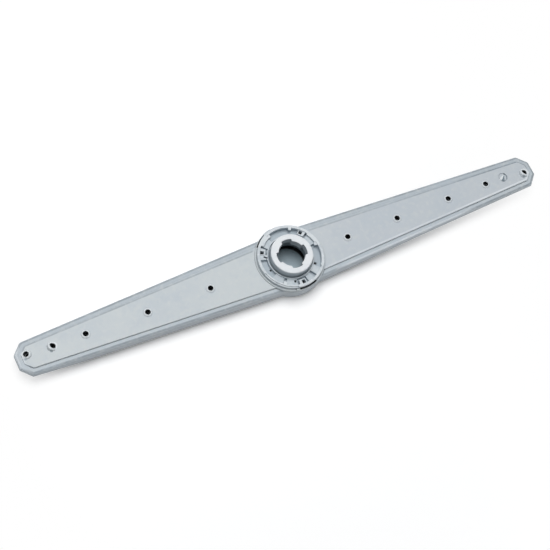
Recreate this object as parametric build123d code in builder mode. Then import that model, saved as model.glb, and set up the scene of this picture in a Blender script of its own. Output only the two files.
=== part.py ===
from build123d import *
import os
from math import radians, tan

os.makedirs("parts", exist_ok=True)

# A dishwasher spray arm: a hollow two-blade arm that turns about a keyed inlet bush.
# The origin is on the hub axis, in the plane of the hub's underside. The blades run
# along X, the bush opens towards +Z. Lengths are millimetres, angles are degrees.

# Outline of the arm, seen from above
arm_length = 480.0
blade_width_hub = 51.2      # between the straight edges, carried on to the hub axis
blade_width_tip = 29.4      # between the tip corners
tip_chamfer = 8.2           # length along the arm of the slanted tip edges
tip_edge = 12.2             # straight edge at the very end
tip_far_radius = 3.6        # tip corners on the +Y side, rounder than on the other
tip_near_round = 0.4        # radius left at the other tip corners, inside the flange's edge
root_far_radius = 2.5       # hollow corners between a blade and the hub collar
root_near_radius = 8.0

# Heights of the arm
flange_top = 12.5           # top of the flange above the hub's underside
edge_radius = 2.2           # outer edge of the flange
edge_land = 0.4             # upright part of the edge, below its rounding
flange_width = 5.0
panel_rise = 1.3            # raised panel above the flange
panel_thickness = 1.6
wall = 1.8                  # side walls of the lower shell
floor_thickness = 1.6
panel_edge_radius = 0.5
panel_far_radius = 4.2      # corners of the panel's outline on the +Y side
panel_near_radius = 0.8
keel_radius = 1.4           # lower edge of the blades
drum_keel_radius = 2.2      # lower edge of the hub

# Underside of the blades, which thin towards their tips: place along the arm as a share of
# half its length, and depth below the top of the flange as a share of the flange's height
underside_points = (
    (-1.0, 0.45),
    (-0.79, 0.80),
    (0.125, 0.975),
    (0.48, 0.55),
    (1.0, 0.375),
)
underside_bend = 150.0      # radius where its slope changes

# Welded seam between the two shells
weld_width = 1.0
weld_height = 1.0
weld_inset = 1.3
weld_clearance = 0.1
weld_ledge = 3.9            # widened rim of the lower shell, under the flange
weld_ledge_height = 2.2
seam_overhang = 0.3         # flange edge beyond the wall of the lower shell

# Round water chamber under the hub, and the collar round the ring's seat
chamber_wall = 3.3
collar_wall = 2.4
collar_rise = 2.2           # top of the collar above the flange
collar_edge = 0.3
shelf_rise = 0.2            # seat of the ring, above the flange
panel_wall = 1.6            # shell left round the hollow under the raised panel
bush_opening_clearance = 0.5

# Open grooves in the collar beside the ring, and stop blocks before them: start angle, span
collar_groove_places = ((261.0, 33.0), (117.0, 23.0))
collar_groove_depth = 3.0
collar_lip = 0.6            # wall left outside a groove
collar_stops = ((254.5, 5.5, 1.2), (101.0, 15.0, 2.3))      # the third value is the rise
stop_clearance = 0.2

# Inlet bush
bush_radius = 17.65
bush_rise = 11.0            # top of the bush above the flange
bush_flange_width = 3.85
bush_flange_thickness = 1.9
bush_edge = 0.5
key_bore_radius = 11.25     # over the four lands
key_slot_radius = 13.1
key_slot_width = 9.0
key_depth = 7.5
bush_bore_radius = 13.4     # below the lands
key_count = 4
key_turn = -3.0             # resting turn of the keyed bore about the hub axis

# Bearing ring under the retaining ring
bearing_ring_thickness = 0.8
bearing_ring_clearance = 0.55   # round the bush
bearing_ring_overlap = 0.1      # beyond the bush's flange
axial_play = 0.1
running_clearance = 0.08

# Retaining ring
ring_seat_clearance = 0.3
ring_rise = 5.7             # top of the rim above the flange
ring_web = 1.5
rim_wall = 1.2
rim_gap = 0.3               # between the windows and the rim
bead_width = 1.0            # ledge round the rim, over the collar
bead_start = 258.0          # the ledge is as high as the rim from here on
bead_span = 295.0
bead_low_rise = 4.7         # and this high in the rest
inner_lip_gap = 1.35        # round the bush
inner_lip_wall = 0.8
inner_lip_rise = 4.3
land_rise = 2.2
slit_start = 261.0          # slit under the ledge
slit_span = 32.0
slit_height = 1.3
notch_start = 317.5         # notch in the rim's inner edge
notch_span = 3.5
notch_depth = 1.8
notch_wall = 0.7

# The three catches are not evenly spaced, so the ring goes on one way only. Each has a
# window in a raised shaft, a hook before it, and a block and a lug before the shaft.
catch_angles = (44.5, 150.4, 271.0)
catch_gap = 0.8             # angle between a hook and the end of its slot
window_span = 7.0
window_margin = 0.2
hook_gap = 1.1              # round the bush's flange
hook_width = 2.7
hook_span = 9.0
hook_foot_span = 8.0
hook_thickness = 1.7
hook_clearance = 0.3
shaft_lead = 9.0            # angle from the start of the shaft to the middle of its window
shaft_span = 14.0
shaft_wall = 0.9
shaft_rise = 4.8
block_lead = 35.0
block_span = 22.0
block_rise = 3.8
lug_lead = 41.0
lug_span = 6.5
lug_width = 3.6
lug_rise = 5.3
thick_rims = ((0, 2.4), (1, 3.4))       # rim at the block: number of the catch, width

# Stiffening blocks in the trough of the ring, between the catches: start angle, span, rise
stiffeners = (
    (155.0, 10.5, 4.3),
    (207.0, 22.5, 3.4),
    (281.5, 13.5, 3.4),
    (301.5, 16.5, 4.0),
)
rib_start = 63.5
rib_span = 5.5
rib_width = 3.2

# Pits in the trough: angle, distance from the inner lip, length, width, turn from radial
pits = (
    (160.5, 2.0, 3.3, 1.5, -23.5),
    (192.0, 1.6, 1.8, 1.5, 0.0),
    (254.4, 2.9, 2.1, 1.7, 0.0),
    (325.5, 2.2, 2.4, 1.8, 0.0),
)
pit_floor = 0.4

# Posts that carry the bush when the arm lies on a table
post_count = 4
post_width = 1.6
post_length = 5.7
post_clearance = 0.3

# Jets on the raised panel: blade, place between the collar and the tip as a share of that
# length, place across the arm, lean, and where it leans to
jets = (
    (-1, 0.957, 2.6, 18.0, 170.0),
    (-1, 0.857, 1.3, 30.0, 15.0),
    (-1, 0.723, 1.0, 0.0, 0.0),
    (-1, 0.471, -0.4, 0.0, 0.0),
    (-1, 0.206, -0.2, 0.0, 0.0),
    (1, 0.117, -0.5, 0.0, 0.0),
    (1, 0.345, -0.5, 0.0, 0.0),
    (1, 0.587, -0.4, 0.0, 0.0),
    (1, 0.769, 0.1, 0.0, 0.0),
    (1, 0.951, -2.5, 32.0, 30.0),
)
jet_base_radius = 3.9
jet_top_radius = 2.9
jet_height = 1.0
jet_hole_radius = 2.2
jet_root = 1.2              # how far a jet's boss reaches down into the panel
jet_drill = 8.0             # how far its hole is cut, up and down from the panel

# Round moulding mark on the panel: a fine groove round a raised pointer
mark_share = 0.856          # place between the collar and the tip
mark_across = 0.4
mark_radius = 4.1
mark_groove = 0.8
mark_depth = 0.5
pointer_length = 6.0
pointer_width = 3.6
pointer_rise = 0.8
pointer_slope = 55.0        # of its sides, from upright
pointer_turn = 42.0

# Radii of the hub, worked out from the bush outwards
bush_flange_radius = bush_radius + bush_flange_width
bush_opening_radius = bush_flange_radius + bush_opening_clearance
bearing_ring_inner = bush_radius + bearing_ring_clearance
bearing_ring_outer = bush_flange_radius + bearing_ring_overlap
ring_bore_radius = bush_radius + running_clearance
inner_lip_radius = bush_radius + inner_lip_gap
hook_inner = bush_flange_radius + hook_gap
hook_outer = hook_inner + hook_width
window_inner = hook_inner - window_margin
window_outer = hook_outer + window_margin
ring_radius = window_outer + rim_gap + rim_wall
bead_radius = ring_radius + bead_width
collar_inner = ring_radius + ring_seat_clearance
collar_radius = collar_inner + collar_wall
chamber_radius = collar_radius - chamber_wall
trough_inner = inner_lip_radius + inner_lip_wall / 2
trough_outer = ring_radius - rim_wall / 2

# Levels worked out from the sizes above
half_length = arm_length / 2
flange_thickness = edge_radius + edge_land
seam_level = flange_top - flange_thickness
panel_top = flange_top + panel_rise
collar_top = flange_top + collar_rise
shelf_top = flange_top + shelf_rise
ring_top = flange_top + ring_rise
bush_top = flange_top + bush_rise
bush_flange_top = shelf_top - bearing_ring_thickness - axial_play
bush_flange_bottom = bush_flange_top - bush_flange_thickness
hook_top = seam_level - hook_clearance
hook_bottom = hook_top - hook_thickness


def blade_face(inset, far_radius=0.0, near_radius=0.0):
    """Both blades as one flat face, drawn in by an inset, its tip corners rounded."""
    corner = half_length - tip_chamfer
    with BuildSketch(mode=Mode.PRIVATE) as blades:
        with BuildLine():
            Polyline(
                (0, blade_width_hub / 2),
                (corner, blade_width_tip / 2),
                (half_length, tip_edge / 2),
                (half_length, 0),
            )
            mirror(about=Plane.XZ)
            mirror(about=Plane.YZ)
        make_face()
        if inset > 0:
            offset(amount=-inset, kind=Kind.INTERSECTION)
        tips = blades.vertices().filter_by(lambda v: abs(v.X) > collar_radius and abs(v.Y) > inset)
        if far_radius > 0:
            fillet(tips.filter_by(lambda v: v.Y > 0), far_radius)
        if near_radius > 0:
            fillet(tips.filter_by(lambda v: v.Y < 0), near_radius)
    return blades.sketch


def arm_face(inset):
    """The blades with the round hub collar between them, drawn in by an inset."""
    with BuildSketch(mode=Mode.PRIVATE) as arm:
        tip_near_radius = edge_radius + tip_near_round
        add(blade_face(inset, max(tip_far_radius - inset, 0), max(tip_near_radius - inset, 0)))
        Circle(collar_radius - inset)
        roots = arm.vertices().filter_by(lambda v: abs(v.X) < collar_radius)
        fillet(roots.filter_by(lambda v: v.Y > 0), root_far_radius + inset)
        roots = arm.vertices().filter_by(lambda v: abs(v.X) < collar_radius)
        fillet(roots.sort_by(Axis.Y)[:2], root_near_radius + inset)
    return arm.sketch


def sector(inner, outer, start, span):
    """A slice of a flat ring, from the start angle on through the span."""
    edges = [Vector(1, 0).rotate(Axis.Z, angle) for angle in (start, start + span)]
    with BuildSketch(mode=Mode.PRIVATE) as slice_of_ring:
        with BuildLine():
            CenterArc((0, 0), inner, start, span)
            CenterArc((0, 0), outer, start, span)
            for edge in edges:
                Line(edge * inner, edge * outer)
        make_face()
    return slice_of_ring.sketch


def underside_profile(lift):
    """What lies below the underside of both blades, raised by a lift."""
    reach = half_length + wall
    points = [
        (share * half_length, flange_top * (1 - depth) + lift) for share, depth in underside_points
    ]
    with BuildSketch(Plane.XZ, mode=Mode.PRIVATE) as profile:
        with BuildLine():
            Polyline(
                (reach, -flange_top),
                (-reach, -flange_top),
                (-reach, points[0][1]),
                *points,
                (reach, points[-1][1]),
                close=True,
            )
        make_face()
        bends = profile.vertices().filter_by(lambda v: abs(v.X) < half_length - tip_chamfer)
        fillet(bends, underside_bend)
    return profile.sketch


def panel_spot(side, share, across):
    """A point on the raised panel, between the collar and a blade's tip."""
    return Vector(side * (collar_radius + share * (half_length - collar_radius)), across, panel_top)


# Inside of the lower shell: the water channel of both blades and the round hub chamber
with BuildPart() as channel:
    with BuildSketch(Plane.XY.offset(seam_level - weld_ledge_height)):
        add(blade_face(wall + seam_overhang))
    extrude(amount=-seam_level)
    with BuildSketch(Plane.XY.offset(seam_level)):
        add(blade_face(weld_ledge))
    extrude(amount=-seam_level)
    extrude(underside_profile(floor_thickness), amount=blade_width_hub, both=True, mode=Mode.SUBTRACT)
    with BuildSketch(Plane.XY.offset(floor_thickness)):
        Circle(chamber_radius)
    extrude(amount=seam_level - floor_thickness)

# Lower shell: a tapered pan, deepest at the hub, with four posts under the bush
with BuildPart() as lower_shell:
    with BuildSketch(Plane.XY.offset(seam_level)):
        add(arm_face(seam_overhang))
    extrude(amount=-seam_level)
    extrude(underside_profile(0), amount=blade_width_hub, both=True, mode=Mode.SUBTRACT)
    underside = lower_shell.faces().filter_by(lambda f: round(f.normal_at().Z) == -1)
    keel = underside.edges().filter_by(
        lambda e: abs(e.center().Y) > keel_radius or abs(e.center().X) > half_length - tip_chamfer
    )
    fillet(keel, keel_radius)
    with BuildSketch(Plane.XZ):
        with BuildLine():
            drum = collar_radius - seam_overhang
            Polyline((0, 0), (drum, 0), (drum, seam_level), (0, seam_level), close=True)
        drum_face = make_face()
        fillet(drum_face.vertices().sort_by(lambda v: v.X - v.Y)[-1], drum_keel_radius)
    revolve(axis=Axis.Z)
    add(channel.part, mode=Mode.SUBTRACT)
    with BuildSketch(Plane.XY.offset(seam_level)):
        add(arm_face(weld_inset))
        add(arm_face(weld_inset + weld_width), mode=Mode.SUBTRACT)
    extrude(amount=-weld_height, mode=Mode.SUBTRACT)
    post_outer = bush_flange_radius - post_clearance
    with BuildSketch(Plane.XY.offset(floor_thickness / 2)):
        with PolarLocations(post_outer - post_length / 2, post_count, start_angle=180 / post_count):
            Rectangle(post_length, post_width)
    extrude(amount=bush_flange_bottom - post_clearance - floor_thickness / 2)
lower_shell.part.label = "lower_shell"
export_step(lower_shell.part, "parts/lower_shell.step")

# Upper shell: a flange round a raised panel, jets on the panel, and the hub collar
with BuildPart() as upper_shell:
    with BuildSketch(Plane.XY.offset(seam_level)):
        add(arm_face(0))
    extrude(amount=flange_thickness)
    fillet(upper_shell.faces().sort_by(Axis.Z)[-1].edges(), edge_radius)
    with BuildSketch(Plane.XY.offset(seam_level)):
        add(blade_face(flange_width, panel_far_radius, panel_near_radius))
    extrude(amount=panel_top - seam_level)
    fillet(upper_shell.faces().sort_by(Axis.Z)[-1].edges(), panel_edge_radius)
    with BuildSketch(Plane.XY.offset(seam_level)):
        Circle(collar_radius)
    extrude(amount=collar_top - seam_level)
    chamfer(upper_shell.faces().sort_by(Axis.Z)[-1].edges(), collar_edge)
    for side, share, across, lean, toward in jets:
        axis_dir = Vector(0, 0, 1).rotate(Axis.Y, lean).rotate(Axis.Z, toward)
        side_dir = Vector(1, 0, 0).rotate(Axis.Y, lean).rotate(Axis.Z, toward)
        foot = panel_spot(side, share, across)
        with BuildSketch(Plane(origin=foot, x_dir=side_dir, z_dir=side_dir.cross(axis_dir))):
            root = jet_root + jet_base_radius * tan(radians(lean))
            with BuildLine():
                Polyline(
                    (0, -root),
                    (jet_base_radius, -root),
                    (jet_base_radius, 0),
                    (jet_top_radius, jet_height),
                    (0, jet_height),
                    close=True,
                )
            make_face()
        revolve(axis=Axis(foot, axis_dir))
    with BuildSketch(Plane.XY.offset(panel_top - panel_thickness)):
        add(blade_face(flange_width + panel_wall))
        Circle(collar_radius, mode=Mode.SUBTRACT)
    extrude(amount=panel_thickness - panel_top, mode=Mode.SUBTRACT)
    with BuildSketch(Plane.XY.offset(seam_level)):
        Rectangle(arm_length, blade_width_hub)
    extrude(amount=-seam_level, mode=Mode.SUBTRACT)
    for side, share, across, lean, toward in jets:
        axis_dir = Vector(0, 0, 1).rotate(Axis.Y, lean).rotate(Axis.Z, toward)
        with BuildSketch(Plane(origin=panel_spot(side, share, across), z_dir=axis_dir)):
            Circle(jet_hole_radius)
        extrude(amount=jet_drill, both=True, mode=Mode.SUBTRACT)
    mark = Plane(origin=panel_spot(1, mark_share, mark_across)).rotated((0, 0, pointer_turn))
    with BuildSketch(mark):
        Circle(mark_radius)
        Circle(mark_radius - mark_groove, mode=Mode.SUBTRACT)
    extrude(amount=-mark_depth, mode=Mode.SUBTRACT)
    with BuildSketch(mark):
        with BuildLine():
            Polyline(
                (pointer_length / 2, 0),
                (-pointer_length / 2, pointer_width / 2),
                (-pointer_length / 2, -pointer_width / 2),
                close=True,
            )
        make_face()
    extrude(amount=pointer_rise, taper=pointer_slope)
    for start, span, rise in collar_stops:
        with BuildSketch(Plane.XY.offset(shelf_top)):
            add(sector(bead_radius + stop_clearance, collar_radius - collar_edge, start, span))
        extrude(amount=collar_top + rise - shelf_top)
    for start, span in collar_groove_places:
        with BuildSketch(Plane.XY.offset(collar_top)):
            add(sector(collar_inner - ring_seat_clearance, collar_radius - collar_lip, start, span))
        extrude(amount=-collar_groove_depth, mode=Mode.SUBTRACT)
    with BuildSketch(Plane.XY.offset(shelf_top)):
        Circle(collar_inner)
    extrude(amount=collar_rise, mode=Mode.SUBTRACT)
    with BuildSketch(Plane.XY.offset(seam_level)):
        Circle(bush_opening_radius)
        for angle in catch_angles:
            slot_end = angle + window_span / 2 + catch_gap
            slot_span = hook_span + hook_foot_span + 2 * catch_gap
            add(sector(bush_radius, hook_outer + hook_clearance, slot_end - slot_span, slot_span))
    extrude(amount=shelf_top - seam_level, mode=Mode.SUBTRACT)
    with BuildSketch(Plane.XY.offset(seam_level)):
        add(arm_face(weld_inset + weld_clearance))
        add(arm_face(weld_inset + weld_width - weld_clearance), mode=Mode.SUBTRACT)
    extrude(amount=-(weld_height - weld_clearance))
upper_shell.part.label = "upper_shell"
export_step(upper_shell.part, "parts/upper_shell.step")

# Inlet bush: four lands over a wider bore, and a flange that the ring holds down
with BuildPart() as inlet_bush:
    with BuildSketch(Plane.XZ):
        with BuildLine():
            Polyline(
                (bush_bore_radius, bush_flange_bottom),
                (bush_flange_radius, bush_flange_bottom),
                (bush_flange_radius, bush_flange_top),
                (bush_radius, bush_flange_top),
                (bush_radius, bush_top - bush_edge),
                (bush_radius - bush_edge, bush_top),
                (key_bore_radius, bush_top),
                (key_bore_radius, bush_top - key_depth),
                (bush_bore_radius, bush_top - key_depth),
                close=True,
            )
        make_face()
    revolve(axis=Axis.Z)
    with BuildSketch(Plane.XY.offset(bush_top)):
        with PolarLocations(0, key_count, start_angle=key_turn):
            Rectangle(key_slot_radius, key_slot_width, align=(Align.MIN, Align.CENTER))
        Circle(key_slot_radius, mode=Mode.INTERSECT)
    extrude(amount=-key_depth, mode=Mode.SUBTRACT)
inlet_bush.part.label = "inlet_bush"
export_step(inlet_bush.part, "parts/inlet_bush.step")

# Bearing ring: the plain washer that the bush's flange turns against
with BuildPart() as bearing_ring:
    with BuildSketch(Plane.XY.offset(shelf_top - bearing_ring_thickness)):
        Circle(bearing_ring_outer)
        Circle(bearing_ring_inner, mode=Mode.SUBTRACT)
    extrude(amount=bearing_ring_thickness)
bearing_ring.part.label = "bearing_ring"
export_step(bearing_ring.part, "parts/bearing_ring.step")

# Retaining ring: a web on the shelf, a rim and an inner lip round a trough with ribs,
# blocks and pits, and three hooks that turn under the shelf
with BuildPart() as hub_ring:
    with BuildSketch(Plane.XY.offset(shelf_top)):
        Circle(ring_radius)
        Circle(ring_bore_radius, mode=Mode.SUBTRACT)
    extrude(amount=ring_web)
    with BuildSketch(Plane.XY.offset(shelf_top)):
        Circle(inner_lip_radius)
        Circle(ring_bore_radius, mode=Mode.SUBTRACT)
    extrude(amount=land_rise)
    with BuildSketch(Plane.XY.offset(shelf_top)):
        Circle(inner_lip_radius + inner_lip_wall)
        Circle(inner_lip_radius, mode=Mode.SUBTRACT)
    extrude(amount=flange_top + inner_lip_rise - shelf_top)
    with BuildSketch(Plane.XY.offset(shelf_top)):
        Circle(ring_radius)
        Circle(ring_radius - rim_wall, mode=Mode.SUBTRACT)
    extrude(amount=ring_top - shelf_top)
    with BuildSketch(Plane.XY.offset(collar_top)):
        Circle(bead_radius)
        Circle(trough_outer, mode=Mode.SUBTRACT)
    extrude(amount=flange_top + bead_low_rise - collar_top)
    with BuildSketch(Plane.XY.offset(collar_top)):
        add(sector(trough_outer, bead_radius, bead_start, bead_span))
    extrude(amount=ring_top - collar_top)
    for start, span, rise in stiffeners:
        with BuildSketch(Plane.XY.offset(shelf_top)):
            add(sector(trough_inner, trough_outer, start, span))
        extrude(amount=flange_top + rise - shelf_top)
    with BuildSketch(Plane.XY.offset(shelf_top)):
        add(sector(ring_radius - rib_width, trough_outer, rib_start, rib_span))
        for catch, width in thick_rims:
            block_start = catch_angles[catch] - block_lead
            add(sector(ring_radius - width, trough_outer, block_start, block_span))
    extrude(amount=ring_top - shelf_top)
    for angle in catch_angles:
        with BuildSketch(Plane.XY.offset(shelf_top)):
            add(sector(trough_inner, trough_outer, angle - block_lead, block_span))
        extrude(amount=flange_top + block_rise - shelf_top)
        with BuildSketch(Plane.XY.offset(shelf_top)):
            add(sector(ring_radius - lug_width, trough_outer, angle - lug_lead, lug_span))
        extrude(amount=flange_top + lug_rise - shelf_top)
        with BuildSketch(Plane.XY.offset(shelf_top)):
            add(sector(window_inner - shaft_wall, trough_outer, angle - shaft_lead, shaft_span))
        extrude(amount=flange_top + shaft_rise - shelf_top)
        with BuildSketch(Plane.XY.offset(shelf_top)):
            add(sector(window_inner, window_outer, angle - window_span / 2, window_span))
        extrude(amount=ring_top - shelf_top, mode=Mode.SUBTRACT)
        leg_start = angle - window_span / 2 - hook_span
        with BuildSketch(Plane.XY.offset(shelf_top)):
            add(sector(hook_inner, hook_outer, leg_start, hook_span))
        extrude(amount=hook_bottom - shelf_top)
        with BuildSketch(Plane.XY.offset(hook_top)):
            add(sector(hook_inner, hook_outer, leg_start - hook_foot_span, hook_foot_span + hook_span / 2))
        extrude(amount=-hook_thickness)
    for angle, distance, length, width, turn in pits:
        middle = Vector(inner_lip_radius + distance, 0, shelf_top + pit_floor).rotate(Axis.Z, angle)
        with BuildSketch(Plane(origin=middle).rotated((0, 0, angle + turn))):
            Rectangle(length, width)
        extrude(amount=ring_top - shelf_top, mode=Mode.SUBTRACT)
    with BuildSketch(Plane.XY.offset(ring_top)):
        add(sector(trough_outer - rim_wall, ring_radius - notch_wall, notch_start, notch_span))
    extrude(amount=-notch_depth, mode=Mode.SUBTRACT)
    with BuildSketch(Plane.XY.offset(collar_top)):
        add(sector(trough_outer, bead_radius + bead_width, slit_start, slit_span))
    extrude(amount=slit_height, mode=Mode.SUBTRACT)
hub_ring.part.label = "hub_ring"
export_step(hub_ring.part, "parts/hub_ring.step")

for piece in (lower_shell, upper_shell, inlet_bush, bearing_ring, hub_ring):
    print(piece.part.label, round(piece.part.volume, 1), len(piece.part.solids()), piece.part.is_valid)
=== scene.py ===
from math import cos, radians, sin, tau

import bpy
from mathutils import Matrix, Vector


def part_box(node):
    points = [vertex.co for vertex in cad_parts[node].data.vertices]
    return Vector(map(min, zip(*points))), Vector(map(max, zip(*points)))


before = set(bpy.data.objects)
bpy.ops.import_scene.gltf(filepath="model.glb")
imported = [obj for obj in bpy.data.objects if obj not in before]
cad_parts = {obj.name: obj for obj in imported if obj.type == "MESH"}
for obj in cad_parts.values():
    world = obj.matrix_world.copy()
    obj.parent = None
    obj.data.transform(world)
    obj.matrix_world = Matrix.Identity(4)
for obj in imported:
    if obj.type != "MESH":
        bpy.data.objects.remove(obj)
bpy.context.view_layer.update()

mm = 0.001                                    # the sizes below are in metres, written as counts of mm
nearRays = 8                                  # rays that feel for walls close by, for painted shade in hollows and for soft edges
print("frame loaded:", len(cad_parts), "nodes")


# A colour as a screen shows it, 0 to 255, turned into the light values that a shader takes
def tint(red, green, blue):
    parts = [part / 255 for part in (red, green, blue)]
    low = 0.04045                             # below this the screen curve is a straight line
    return tuple(p / 12.92 if p <= low else ((p + 0.055) / 1.055) ** 2.4 for p in parts) + (1,)


# One socket of a material, so that shader maths reads as plain sums
class Wire:
    def __init__(self, paint, socket):
        self.paint, self.socket = paint, socket

    def math(self, operation, first, second=0.0):
        return self.paint.node("ShaderNodeMath", {"operation": operation}, {0: first, 1: second})

    def __add__(self, other):
        return self.math("ADD", self, other)

    def __sub__(self, other):
        return self.math("SUBTRACT", self, other)

    def __rsub__(self, other):
        return self.math("SUBTRACT", other, self)

    def __mul__(self, other):
        return self.math("MULTIPLY", self, other)

    def __truediv__(self, other):
        return self.math("DIVIDE", self, other)

    def __pow__(self, other):
        return self.math("POWER", self, other)

    __radd__ = __add__
    __rmul__ = __mul__

    def larger(self, other):
        return self.math("MAXIMUM", self, other)

    def smaller(self, other):
        return self.math("MINIMUM", self, other)

    def away(self):
        return self.math("ABSOLUTE", self)

    def wave(self):
        return self.math("SINE", self)

    # Climbs from 0 to 1 while this value goes from start to end, and is level outside them
    def ramp(self, start, end):
        return self.paint.node(
            "ShaderNodeMapRange",
            {"interpolation_type": "SMOOTHSTEP"},
            {"Value": self, "From Min": start, "From Max": end},
        )

    # Falls from 1 to 0 in the same way
    def fade(self, start, end):
        return 1 - self.ramp(start, end)

    # Climbs over the first pair of values and falls over the second
    def band(self, climb, fall):
        return self.ramp(*climb) * self.fade(*fall)


# Distance of a point from where both of its values are 0
def span(first, second):
    return (first * first + second * second) ** 0.5


# A material in the making: every node comes from one method
class Paint:
    def __init__(self, name, tree=None):
        if tree is None:
            self.material = bpy.data.materials.new(name)
            self.material.use_nodes = True
            tree = self.material.node_tree
        self.tree = tree
        self.tree.nodes.clear()

    # Settings go on first, because some of them change which sockets a node has
    def node(self, kind, settings=None, sockets=None, output=0):
        made = self.tree.nodes.new(kind)
        for name, value in (settings or {}).items():
            setattr(made, name, value)
        for name, value in (sockets or {}).items():
            self.plug(made.inputs[name], value)
        return Wire(self, made.outputs[output]) if len(made.outputs) else made

    def plug(self, socket, value):
        if isinstance(value, Wire):
            self.tree.links.new(value.socket, socket)
        else:
            socket.default_value = value

    def place(self):
        return self.node("ShaderNodeTexCoord", output="Object")

    def axes(self, vector):
        split = self.node("ShaderNodeSeparateXYZ", sockets={0: vector}).socket.node
        return [Wire(self, socket) for socket in split.outputs]

    # Noise whose lumps are about size across
    def lumps(self, place, size, detail=2.0, roughness=0.5, stretch=None):
        if stretch:
            place = self.node("ShaderNodeMapping", sockets={"Vector": place, "Scale": stretch})
        sockets = {"Vector": place, "Scale": 1 / size, "Detail": detail, "Roughness": roughness}
        return self.node("ShaderNodeTexNoise", {"noise_dimensions": "3D"}, sockets, output="Fac")

    # A Mix node keeps its colour sockets at 6 and 7, and its colour output at 2
    def mixColours(self, factor, first, second):
        mixed = self.node("ShaderNodeMix", {"data_type": "RGBA"}).socket.node
        for index, value in ((0, factor), (6, first), (7, second)):
            self.plug(mixed.inputs[index], value)
        return Wire(self, mixed.outputs[2])

    # A colour with patches of another one where the noise is strong
    def clouded(self, noise, patch, colour, other):
        return self.mixColours(noise.ramp(*patch["shows"]) * patch["amount"], colour, other)

    # Painted shade: a colour that falls off to a dark one where walls stand close around
    def paintHollowShade(self, colour, finish):
        reach = {"Distance": finish["hollow"]}
        free = self.node("ShaderNodeAmbientOcclusion", {"samples": nearRays}, reach, output="AO")
        return self.mixColours(free.ramp(*finish["openness"]), finish["groove"], colour)

    # 1 for what the camera sees itself, in a reflection or through glass, and 0 for other light
    def isSeen(self):
        rays = self.node("ShaderNodeLightPath").socket.node
        seen = Wire(self, rays.outputs["Is Camera Ray"])
        for name in ("Is Glossy Ray", "Is Transmission Ray"):
            seen = seen.larger(Wire(self, rays.outputs[name]))
        return seen

    def close(self, shader):
        self.node("ShaderNodeOutputMaterial", sockets={"Surface": shader})
        return self.material


# Moulded plastic: its relief is a height in metres, and its sharp edges look softly rounded
def moulded(paint, colour, roughness, relief, finish):
    soft = paint.node("ShaderNodeBevel", {"samples": nearRays}, {"Radius": finish["edge"]})
    bump = paint.node("ShaderNodeBump", sockets={
        "Height": relief, "Strength": 1.0, "Distance": 1.0, "Normal": soft})
    return paint.close(paint.node("ShaderNodeBsdfPrincipled", sockets={
        "Base Color": colour,
        "Roughness": roughness,
        "IOR": finish["ior"],
        "Specular IOR Level": finish["gloss"],
        "Normal": bump,
    }))


levels = dict(flange=12.5 * mm, panel=13.8 * mm, shelf=12.7 * mm, web=14.2 * mm)
blade = dict(                                 # outline of the blades, as the CAD part has it
    length=240 * mm,
    halfWidth=25.6 * mm,                      # at the hub axis
    narrowing=10.9 / 231.8,                   # of half the width, along the blade
    slant=(0.724, 0.690),                     # outward direction of the slanted tip edges
    slantCorner=(240 * mm, 6.1 * mm),
)
hub = dict(bore=13.4 * mm, seat=27.3 * mm, collar=29.7 * mm)

# The jets as the CAD part has them: blade, place between collar and tip as a share of that
# length, place across the arm in mm, lean, and where it leans to
jets = (
    (-1, 0.957, 2.6, 18, 170),
    (-1, 0.857, 1.3, 30, 15),
    (-1, 0.723, 1.0, 0, 0),
    (-1, 0.471, -0.4, 0, 0),
    (-1, 0.206, -0.2, 0, 0),
    (1, 0.117, -0.5, 0, 0),
    (1, 0.345, -0.5, 0, 0),
    (1, 0.587, -0.4, 0, 0),
    (1, 0.769, 0.1, 0, 0),
    (1, 0.951, -2.5, 32, 30),
)
jetSize = dict(                               # distances from a jet's axis
    hole=2.2 * mm,
    soft=0.2 * mm,                            # over which the painted black of the hole ends
    lip=2.9 * mm,
    base=3.9 * mm,
    steep=20,                                 # a jet that leans more than this
    more=0.25 * mm,                           # shows its painted black hole this much wider
)
jetFoot = dict(                               # painted shade: dark patch beside a leaning jet
    toward=240,                               # where it lies from the jet
    out=3.9 * mm,
    core=0.5 * mm,                            # all dark this far from its middle
    edge=1.7 * mm,                            # and gone here
)

# The moulding mark, in painted shade and highlight: a pointer with a shaded and a lit face, in a round
# groove. A pair of values is where a change starts and where it is done
mark = dict(
    spot=(1, 0.856, 0.4),
    turn=42,
    groove=((3.1 * mm, 3.3 * mm), (4.1 * mm, 4.3 * mm)),
    arc=((-0.4 * mm, 0.6 * mm), (-1.0 * mm, 1.0 * mm)),    # shaded part, sideways and lengthways
    ridge=(-0.15 * mm, 0.15 * mm),            # where the shaded face turns into the lit one
    taper=2.4,                                # the pointer's length for each half width
    litTaper=0.4,                             # and how much more the lit face has
    soft=(-0.4 * mm, 0.4 * mm),
    tip=3.7 * mm,
    tail=(-3.6 * mm, -3.2 * mm),
    notch=(0.5 * mm, 1.2 * mm),               # from the tip
)

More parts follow.
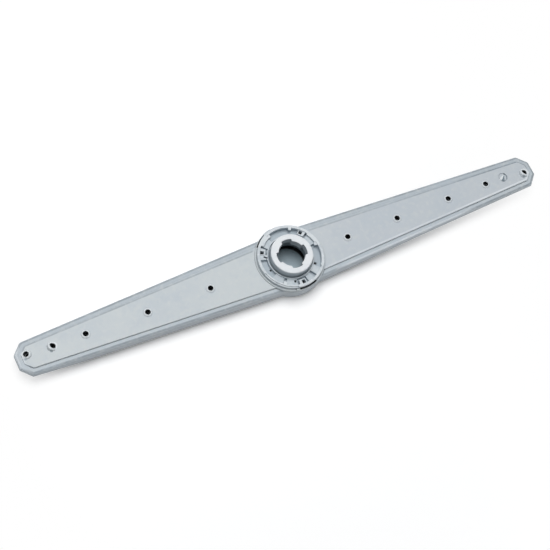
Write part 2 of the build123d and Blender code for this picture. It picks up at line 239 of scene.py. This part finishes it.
armFinish = dict(
    panel=tint(195, 202, 205),                # smooth raised panel of the left blade
    panelRight=tint(189, 196, 202),           # and of the right one, painted a little darker as shade
    flangeFar=tint(178, 187, 194),            # finely grained flange, painted a little darker on the far side as shade
    flangeNear=tint(184, 193, 199),
    rim=tint(146, 155, 162),                  # painted shade: dark line where the flange turns down
    # painted highlight on that rim along part of the near side, and on the panel's near rim
    rimHighlight=tint(226, 232, 236),
    wall=tint(186, 194, 200),
    step=tint(160, 170, 178),                 # painted shade at the foot of the raised panel
    farLine=tint(120, 132, 142),              # painted shade: soft dark line along the panel's far edge
    endRim=tint(208, 215, 221),               # painted highlight: pale rim and step wall round the end of the left blade
    warm=tint(204, 208, 208),
    cool=tint(180, 190, 199),
    bore=tint(172, 190, 199),                 # chamber floor under the bore, painted dimmer as shade
    pitch=tint(14, 16, 18),                   # painted shade: near black in the closed hub inside
    pit=tint(6, 7, 9),                        # painted shade, black down a jet
    lip=tint(228, 233, 236),                  # painted highlight on the lip of a jet and on the lit face of the mark's pointer
    pointerDark=tint(116, 132, 142),          # painted shade: shaded side of the mark's pointer, also its groove's arc and the jets' feet
    notch=tint(92, 106, 114),                 # and painted shade in the notch at its tip
    groove=(0.004, 0.005, 0.006, 1),          # painted shade deep in holes and grooves
    hollow=3.5 * mm,                          # how far the painted shade of holes and grooves reaches
    openness=(0.20, 0.75),                    # of a place that is all dark, and of one that is clear
    roughness=0.42,
    dull=dict(fine=0.08, flange=0.06),        # added where it is mottled, and on the flange
    grain=dict(size=0.45 * mm),
    relief=0.012 * mm,                        # height of the grain
    edge=0.35 * mm,
    ior=1.49,
    gloss=0.42,
)

# Where the arm's tones change, from start to end of each change: heights, then places along
# and across it, distances from the hub's axis, and distances in from the outline
zones = dict(
    panel=(levels["flange"] + 0.4 * mm, levels["panel"] - 0.4 * mm),
    flangeTop=(levels["flange"] - 0.75 * mm, levels["flange"] - 0.2 * mm),
    shelf=(levels["shelf"] - 0.15 * mm, levels["shelf"]),
    far=(-4 * mm, 4 * mm),
    right=(-15 * mm, 60 * mm),
    brightRim=((25 * mm, 50 * mm), (145 * mm, 180 * mm)),
    endRim=(-238 * mm, -231 * mm),
    endStep=(-235 * mm, -231 * mm),
    endHalf=(6 * mm, 10 * mm),
    seat=(hub["seat"], hub["seat"] + 0.3 * mm),
    bore=(hub["bore"], hub["bore"] + 1.5 * mm),
    collar=(hub["collar"] + 0.5 * mm, hub["collar"] + 2.5 * mm),
    rim=(2.0 * mm, 2.5 * mm),
    foot=(3.7 * mm, 4.6 * mm),
    endWall=((4.2 * mm, 4.8 * mm), (5.6 * mm, 6.2 * mm)),
    panelRim=((5.2 * mm, 5.7 * mm), (6.6 * mm, 7.2 * mm)),
)
# Painted shade along the panel's far edge: a band in the far flange's tone and a dark line
farLine = dict(
    inset=7.5 * mm,                           # from the outline at the hub's axis
    narrowing=0.0095,                         # it comes nearer the edge along the blade
    tone=(-0.7 * mm, 0),                      # outside it the panel is painted in the far flange's tone
    width=((-0.9 * mm, -0.1 * mm), (0.2 * mm, 1.1 * mm)),
    start=0.65,                               # how dark it is on the left
    less=0.15,                                # fainter by this
    pastHub=(-30 * mm, 30 * mm),              # over this stretch
    more=0.40,                                # and darker again by this
    toTip=(60 * mm, 210 * mm),                # towards the right tip
)
# How strongly each painted shade and painted highlight shows
amounts = dict(foot=0.25, panelRim=0.7, groove=0.85, arc=0.8, pointer=0.9, jetFoot=0.7, lip=0.8)

# Noise, the part of its range over which it comes to show, and how much it shows
clouds = dict(
    noise=dict(size=26 * mm, detail=3.0, roughness=0.55, stretch=(0.55, 1.0, 1.0)),
    shows=(0.4, 0.7),
    amount=0.45,
)
smudges = dict(
    noise=dict(size=11 * mm, detail=3.0, roughness=0.6, stretch=(0.8, 1.0, 1.0)),
    shows=(0.5, 0.72),
    amount=0.40,
)
mottle = dict(noise=dict(size=4.5 * mm), shows=(0.45, 0.75), amount=0.35)


# Distance in from the blades' outline: the least of those from side, slanted edge and end
def insetOf(along, across):
    x, y = along.away(), across.away()
    side = blade["halfWidth"] - x * blade["narrowing"] - y
    cornerX, cornerY = blade["slantCorner"]
    outX, outY = blade["slant"]
    slant = (cornerX - x) * outX + (cornerY - y) * outY
    return side.smaller(slant).smaller(blade["length"] - x)


# Place on the panel, between the collar and a tip
def panelSpot(side, share, y):
    return side * (hub["collar"] + share * (blade["length"] - hub["collar"])), y * mm


# Place seen from a spot, turned so that the first axis points the given way
def turned(along, across, spot, toward):
    x, y = along - spot[0], across - spot[1]
    c, s = cos(radians(toward)), sin(radians(toward))
    return x * c + y * s, y * c - x * s


# Distance from the axis of the nearest jet: a leaning axis shifts with the height
def jetDistance(along, across, height):
    nearest = None
    for side, share, y, lean, toward in jets:
        ahead, aside = turned(along, across, panelSpot(side, share, y), toward)
        if lean:
            climb = height - levels["panel"]
            ahead = ahead * cos(radians(lean)) - climb * sin(radians(lean))
        distance = span(ahead, aside)
        if lean > jetSize["steep"]:
            distance = distance - jetSize["more"]
        nearest = distance if nearest is None else nearest.smaller(distance)
    return nearest


# Painted shade: a dark patch at the foot of each leaning jet, on the side away from the light
def footShade(along, across):
    shade = None
    for side, share, y in [jet[:3] for jet in jets if jet[3]]:
        ahead, aside = turned(along, across, panelSpot(side, share, y), jetFoot["toward"])
        patch = span(ahead - jetFoot["out"], aside).fade(jetFoot["core"], jetFoot["edge"])
        shade = patch if shade is None else shade.larger(patch)
    return shade


# What the arm's finish goes by at each point
def armSpot(paint):
    place = paint.place()
    along, across, height = paint.axes(place)
    return dict(
        place=place,
        along=along,
        across=across,
        height=height,
        inset=insetOf(along, across),
        radius=span(along, across),
        isPanel=height.ramp(*zones["panel"]),
        isNear=across.fade(*zones["far"]),
        isRight=along.ramp(*zones["right"]),
    )


# The flange has painted shade: a darker far side, a shaded foot on the far side and a dark rim line,
# with a painted highlight on part of the near side and at the left end
def flangeColour(paint, at):
    colour = paint.mixColours(at["isNear"], armFinish["flangeFar"], armFinish["flangeNear"])
    foot = at["inset"].ramp(*zones["foot"]) * (1 - at["isPanel"]) * (1 - at["isNear"])
    colour = paint.mixColours(foot * amounts["foot"], colour, armFinish["step"])
    isBright = at["isNear"] * at["along"].band(*zones["brightRim"])
    rim = paint.mixColours(isBright, armFinish["rim"], armFinish["rimHighlight"])
    rim = paint.mixColours(at["along"].fade(*zones["endRim"]), rim, armFinish["endRim"])
    return paint.mixColours(at["inset"].fade(*zones["rim"]), colour, rim)


# The panel has painted shade and highlight: the right blade's panel a little darker, a bright rim on
# the near side of the right blade, and a dark line along its far edge
def panelColour(paint, at):
    colour = paint.mixColours(at["isRight"], armFinish["panel"], armFinish["panelRight"])
    rim = at["inset"].band(*zones["panelRim"]) * at["isNear"] * at["isRight"]
    colour = paint.mixColours(rim * amounts["panelRim"], colour, armFinish["rimHighlight"])
    isFarEdge = (1 - at["isNear"]) * at["radius"].ramp(*zones["collar"])
    fromLine = at["inset"] + at["along"].away() * farLine["narrowing"] - farLine["inset"]
    tone = isFarEdge * fromLine.fade(*farLine["tone"])
    colour = paint.mixColours(tone, colour, armFinish["flangeFar"])
    depth = farLine["start"] - at["along"].ramp(*farLine["pastHub"]) * farLine["less"]
    depth = depth + at["along"].ramp(*farLine["toTip"]) * farLine["more"]
    line = isFarEdge * fromLine.band(*farLine["width"]) * depth
    return paint.mixColours(line, colour, armFinish["farLine"])


# Painted light: the wall where the panel steps down at the end of the left blade is painted pale
def withEndWall(paint, at, colour):
    isEnd = at["along"].fade(*zones["endStep"]) * at["across"].away().fade(*zones["endHalf"])
    return paint.mixColours(isEnd * at["inset"].band(*zones["endWall"]), colour, armFinish["endRim"])


# Painted shade inside the hub: a dimmer chamber floor under the bore, and near black all round it
def withHubInside(paint, at, colour):
    inside = at["radius"].fade(*zones["seat"]) * at["height"].fade(*zones["shelf"])
    chamber = paint.mixColours(at["radius"].ramp(*zones["bore"]), armFinish["bore"], armFinish["pitch"])
    return paint.mixColours(inside, colour, chamber)


# Painted shade and highlight on the mark: groove painted in the panel's tone, dark arc, pointer faces,
# notch
def withMark(paint, at, colour, panel):
    ahead, aside = turned(at["along"], at["across"], panelSpot(*mark["spot"]), mark["turn"])
    groove = span(ahead, aside).band(*mark["groove"])
    colour = paint.mixColours(groove * amounts["groove"], colour, panel)
    sideways, lengthways = mark["arc"]
    arc = groove * aside.fade(*sideways) * ahead.ramp(*lengthways)
    colour = paint.mixColours(arc * amounts["arc"], colour, armFinish["pointerDark"])
    isLit = aside.ramp(*mark["ridge"])
    spread = aside.away() * (mark["taper"] + isLit * mark["litTaper"])
    wedge = (mark["tip"] - ahead - spread).ramp(*mark["soft"]) * ahead.ramp(*mark["tail"])
    pointer = paint.mixColours(isLit, armFinish["pointerDark"], armFinish["lip"])
    colour = paint.mixColours(wedge * amounts["pointer"], colour, pointer)
    notch = span(ahead - mark["tip"], aside).fade(*mark["notch"])
    return paint.mixColours(notch, colour, armFinish["notch"])


# Jets: painted highlight on the lips, painted black shade in the throats, painted shade beside leaning
# ones
def withJets(paint, at, colour):
    shade = footShade(at["along"], at["across"])
    colour = paint.mixColours(shade * amounts["jetFoot"], colour, armFinish["pointerDark"])
    jet = jetDistance(at["along"], at["across"], at["height"])
    lip = jet.ramp(jetSize["base"], jetSize["lip"]) * jet.ramp(jetSize["hole"], jetSize["lip"])
    colour = paint.mixColours(lip * amounts["lip"], colour, armFinish["lip"])
    hole = jet.fade(jetSize["hole"], jetSize["hole"] + jetSize["soft"])
    return paint.mixColours(hole, colour, armFinish["pit"])


# Satin polypropylene: cloudy light blue-grey, with a fine grain and softened edges, and painted shade
# and highlights on its edges, hollows, hub inside, jets and mark
def armPlastic():
    paint = Paint("armPlastic")
    at = armSpot(paint)
    place = at["place"]
    panel = panelColour(paint, at)
    isTop = at["height"].ramp(*zones["flangeTop"])
    low = paint.mixColours(isTop, armFinish["wall"], flangeColour(paint, at))
    colour = paint.mixColours(at["isPanel"], low, panel)
    for patch in (clouds, smudges):
        colour = paint.clouded(paint.lumps(place, **patch["noise"]), patch, colour, armFinish["cool"])
    fine = paint.lumps(place, **mottle["noise"])
    colour = paint.clouded(fine, mottle, colour, armFinish["warm"])
    colour = paint.paintHollowShade(colour, armFinish)
    colour = withEndWall(paint, at, colour)
    colour = withHubInside(paint, at, colour)
    colour = withMark(paint, at, colour, panel)
    colour = withJets(paint, at, colour)
    dull = armFinish["dull"]
    roughness = armFinish["roughness"] + fine * dull["fine"] + (1 - at["isPanel"]) * dull["flange"]
    relief = paint.lumps(place, **armFinish["grain"]) * armFinish["relief"]
    return moulded(paint, colour, roughness, relief, armFinish)


ringFinish = dict(
    base=tint(212, 218, 222),                 # rim and ledge
    deep=tint(168, 179, 187),                 # floor of the trough, painted darker as shade
    shade=tint(168, 180, 188),
    # painted shade in the ring's hollows and grooves
    groove=tint(122, 133, 141),
    # painted shade: black below the trough's floor
    pitch=tint(10, 12, 14),
    aboveWeb=0.2 * mm,                        # the tone rises from here
    belowTop=0.1 * mm,                        # to here
    black=(levels["web"] - 0.9 * mm, levels["web"] - 0.2 * mm),    # and is painted black, as shade, below these heights
    clouds=dict(noise=dict(size=5 * mm, detail=3.0), shows=(0.4, 0.7), amount=0.55),
    roughness=0.40,
    dull=0.06,                                # added where it is cloudy
    grain=dict(size=0.4 * mm),
    relief=0.014 * mm,
    edge=0.30 * mm,
    # how far the painted shade of hollows reaches
    hollow=2.2 * mm,
    openness=(0.05, 0.55),
    ior=1.49,
    gloss=0.42,
)


# The ring's plastic: the arm's grey, with painted shade making it darker low in the trough and in
# hollows, and black below its floor
def ringPlastic():
    paint = Paint("ringPlastic")
    place = paint.place()
    height = paint.axes(place)[2]
    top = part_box("hub_ring")[1].z
    rise = height.ramp(levels["web"] + ringFinish["aboveWeb"], top - ringFinish["belowTop"])
    colour = paint.mixColours(rise, ringFinish["deep"], ringFinish["base"])
    patch = ringFinish["clouds"]
    noise = paint.lumps(place, **patch["noise"])
    colour = paint.clouded(noise, patch, colour, ringFinish["shade"])
    colour = paint.paintHollowShade(colour, ringFinish)
    colour = paint.mixColours(height.fade(*ringFinish["black"]), colour, ringFinish["pitch"])
    roughness = ringFinish["roughness"] + noise * ringFinish["dull"]
    relief = paint.lumps(place, **ringFinish["grain"]) * ringFinish["relief"]
    return moulded(paint, colour, roughness, relief, ringFinish)


bush = dict(
    top=23.5 * mm,
    lands=7.5 * mm,                           # height of the keyed lands, down from the top
    outside=(13.9 * mm, 14.4 * mm),           # radius past which a wall is an outer one
    turnings=0.35 * mm,                       # from one turning ring to the next
)
bushFinish = dict(
    base=tint(224, 228, 231),
    shade=tint(214, 220, 225),
    side=tint(178, 188, 195),                 # outside, below the top, painted darker as shade
    lands=tint(180, 188, 194),                # keyed bore, painted darker as shade
    deep=tint(104, 114, 122),                 # wider bore below the lands, painted darker still as shade
    isTop=(bush["top"] - 1.1 * mm, bush["top"] - 0.25 * mm),
    isLands=(bush["top"] - bush["lands"] - 0.1 * mm, bush["top"] - bush["lands"] + 1.5 * mm),
    clouds=dict(noise=dict(size=6 * mm), shows=(0.4, 0.7), amount=0.5),
    roughness=0.34,
    dull=0.05,
    grain=dict(size=0.5 * mm),
    relief=0.006 * mm,
    rings=0.001 * mm,                         # height of the turning rings
    edge=0.35 * mm,
    ior=1.48,
    gloss=0.45,
)


# Smooth, very light acetal of the bush, with faint turning rings on its top; its outer side and its
# bore are painted darker as shade, most of all low in the bore
def bushPlastic():
    paint = Paint("bushPlastic")
    place = paint.place()
    along, across, height = paint.axes(place)
    radius = span(along, across)
    patch = bushFinish["clouds"]
    noise = paint.lumps(place, **patch["noise"])
    top = paint.clouded(noise, patch, bushFinish["base"], bushFinish["shade"])
    isDeep = height.fade(*bushFinish["isLands"])
    bore = paint.mixColours(isDeep, bushFinish["lands"], bushFinish["deep"])
    wall = paint.mixColours(radius.ramp(*bush["outside"]), bore, bushFinish["side"])
    colour = paint.mixColours(height.fade(*bushFinish["isTop"]), top, wall)
    roughness = bushFinish["roughness"] + noise * bushFinish["dull"]
    rings = (radius / bush["turnings"] * tau).wave() * bushFinish["rings"]
    relief = rings + paint.lumps(place, **bushFinish["grain"]) * bushFinish["relief"]
    return moulded(paint, colour, roughness, relief, bushFinish)


def dress(name, material):
    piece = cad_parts[name]
    piece.data.materials.clear()
    piece.data.materials.append(material)


arm = armPlastic()
for name in ("upper_shell", "lower_shell"):
    dress(name, arm)
dress("hub_ring", ringPlastic())
acetal = bushPlastic()
for name in ("inlet_bush", "bearing_ring"):
    dress(name, acetal)
print("materials on")

floorSize = dict(
    half=4.0,
    paper=0.80,                               # share of the light that it throws back
    lift=0.20,                                # and this much more where it is seen
    glow=0.12,                                # with a little light of its own
    rightThin=(40 * mm, 285 * mm),            # the floor is painted lighter under the tips, so the shadow thins out there
    leftThin=(-180 * mm, -270 * mm),
    farWhite=(290 * mm, 420 * mm),            # and the floor is plain white away from the arm
)


# Pale floor: it takes the arm's shadow, which painted light thins under the tips, and shows as white to
# the camera and in reflections
def layFloor():
    half = floorSize["half"]
    corners = [(-half, -half, 0), (half, -half, 0), (half, half, 0), (-half, half, 0)]
    mesh = bpy.data.meshes.new("floor")
    mesh.from_pydata(corners, [], [(0, 1, 2, 3)])
    floor = bpy.data.objects.new("floor", mesh)
    bpy.context.scene.collection.objects.link(floor)
    paint = Paint("floorPaper")
    matt = paint.node("ShaderNodeBsdfDiffuse", sockets={"Color": (floorSize["paper"],) * 3 + (1,)})
    more = paint.node("ShaderNodeBsdfDiffuse", sockets={"Color": (floorSize["lift"],) * 3 + (1,)})
    along, across = paint.axes(paint.place())[:2]
    thin = along.ramp(*floorSize["rightThin"]) + along.ramp(*floorSize["leftThin"])
    thin = thin.larger(span(along, across).ramp(*floorSize["farWhite"]))
    glow = paint.node("ShaderNodeEmission", sockets={"Strength": floorSize["glow"]})
    white = paint.node("ShaderNodeEmission", sockets={"Strength": 1.0})
    lifted = paint.node("ShaderNodeAddShader", sockets={0: matt, 1: more})
    lifted = paint.node("ShaderNodeAddShader", sockets={0: lifted, 1: glow})
    lifted = paint.node("ShaderNodeMixShader", sockets={0: thin, 1: lifted, 2: white})
    both = paint.node("ShaderNodeMixShader", sockets={0: paint.isSeen(), 1: matt, 2: lifted})
    mesh.materials.append(paint.close(both))


layFloor()

skyLight = dict(strength=0.27, colour=(0.97, 0.985, 1.0, 1))


# White behind everything that is seen, and a softer even light on the arm
def lightSky():
    world = bpy.data.worlds.new("studio")
    bpy.context.scene.world = world
    world.use_nodes = True
    paint = Paint("studio", world.node_tree)
    soft = paint.node("ShaderNodeBackground", sockets={
        "Color": skyLight["colour"], "Strength": skyLight["strength"]})
    white = paint.node("ShaderNodeBackground", sockets={"Color": (1, 1, 1, 1), "Strength": 1.0})
    both = paint.node("ShaderNodeMixShader", sockets={0: paint.isSeen(), 1: soft, 2: white})
    paint.node("ShaderNodeOutputWorld", sockets={"Surface": both})


lightSky()

lamps = (
    dict(name="overheadLamp", azimuth=166.0, elevation=72.0, distance=3.0, size=2.3, power=58.0),
    dict(name="leftLamp", azimuth=-100.0, elevation=60.0, distance=0.75, size=0.4, power=0.6),
    dict(name="rightLamp", azimuth=15.0, elevation=15.0, distance=0.6, size=0.25, power=0.25,
         aim=(130 * mm, 0, 0)),
)


# A direction from two angles: azimuth 0 is from -Y, 90 is from +X
def outward(azimuth, elevation):
    a, e = radians(azimuth), radians(elevation)
    return Vector((sin(a) * cos(e), -cos(a) * cos(e), sin(e)))


def hangLamps():
    for lamp in lamps:
        light = bpy.data.lights.new(lamp["name"], "AREA")
        light.shape = "DISK"
        light.size, light.energy = lamp["size"], lamp["power"]
        spot = bpy.data.objects.new(lamp["name"], light)
        bpy.context.scene.collection.objects.link(spot)
        back = outward(lamp["azimuth"], lamp["elevation"])
        spot.location = Vector(lamp.get("aim", (0, 0, 0))) + back * lamp["distance"]
        spot.rotation_euler = (-back).to_track_quat("-Z", "Y").to_euler()


hangLamps()
print("stage lit")

shot = dict(
    azimuth=-47.47,
    elevation=63.91,
    roll=23.57,                               # turn of the picture about the line of sight
    distance=1.2824,
    aim=(-15.15 * mm, -6.044 * mm, 5.033 * mm),
    lens=101.84,
    sensor=36.0,
    clip=(0.05, 20.0),                        # nearest and farthest that it sees
)


# The camera stands back from its aim along the line of sight and is rolled about it
def setCamera():
    back = outward(shot["azimuth"], shot["elevation"])
    level = Vector((cos(radians(shot["azimuth"])), sin(radians(shot["azimuth"])), 0))
    turn = Matrix.Rotation(radians(shot["roll"]), 3, back)
    right = turn @ level
    up = back.cross(right)
    data = bpy.data.cameras.new("camera")
    data.lens, data.sensor_width = shot["lens"], shot["sensor"]
    data.clip_start, data.clip_end = shot["clip"]
    camera = bpy.data.objects.new("camera", data)
    bpy.context.scene.collection.objects.link(camera)
    spot = Vector(shot["aim"]) + back * shot["distance"]
    axes = Matrix((right, up, back)).transposed().to_4x4()
    camera.matrix_world = Matrix.Translation(spot) @ axes
    bpy.context.scene.camera = camera


setCamera()
bpy.context.scene.view_settings.view_transform = "Standard"
print("camera set")
